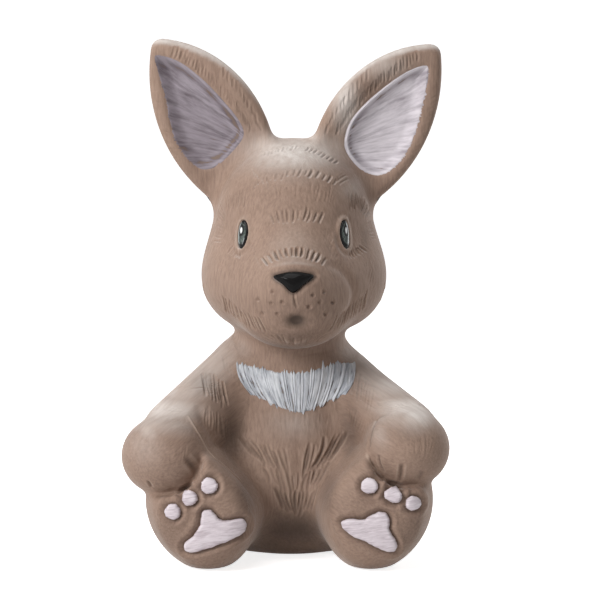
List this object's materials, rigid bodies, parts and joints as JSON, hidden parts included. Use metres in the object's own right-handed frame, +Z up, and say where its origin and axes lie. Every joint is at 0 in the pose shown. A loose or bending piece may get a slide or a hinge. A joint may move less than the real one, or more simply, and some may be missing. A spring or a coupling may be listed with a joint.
{
  "type": "hare figurine",
  "caption": "Seated hare figurine with upright ears: a hollow moulding with raised painted pads, eyes, nose and chest tuft, and a plug underneath.",
  "frame": {"origin": "on the ground under the middle of the figure's box", "axes": "+Z up, -Y the way the hare looks, +X to the right when it is seen from its front"},
  "size_m": [0.0932, 0.0742, 0.1501],
  "materials": {
    "moulding": "matt, soft sprayed colour with a pale bloom",
    "plug": "matt",
    "eye_gloss": "gloss lacquer over a grey-green iris",
    "nose_gloss": "gloss lacquer",
    "ear_paint": "brushed matt paint",
    "tuft_paint": "brushed matt paint",
    "pad_paint": "matt paint"
  },
  "bodies": {
    "root": {"hollow_moulding": "moulding", "base_plug": "plug", "left_eye": "eye_gloss", "right_eye": "eye_gloss", "nose": "nose_gloss", "chest_tuft": "tuft_paint", "left_inner_toe_pad": "pad_paint", "left_middle_toe_pad": "pad_paint", "left_outer_toe_pad": "pad_paint", "right_inner_toe_pad": "pad_paint", "right_middle_toe_pad": "pad_paint", "right_outer_toe_pad": "pad_paint", "left_sole_pad": "pad_paint", "right_sole_pad": "pad_paint", "left_ear_lining": "ear_paint", "right_ear_lining": "ear_paint"}
  },
  "joints": []
}
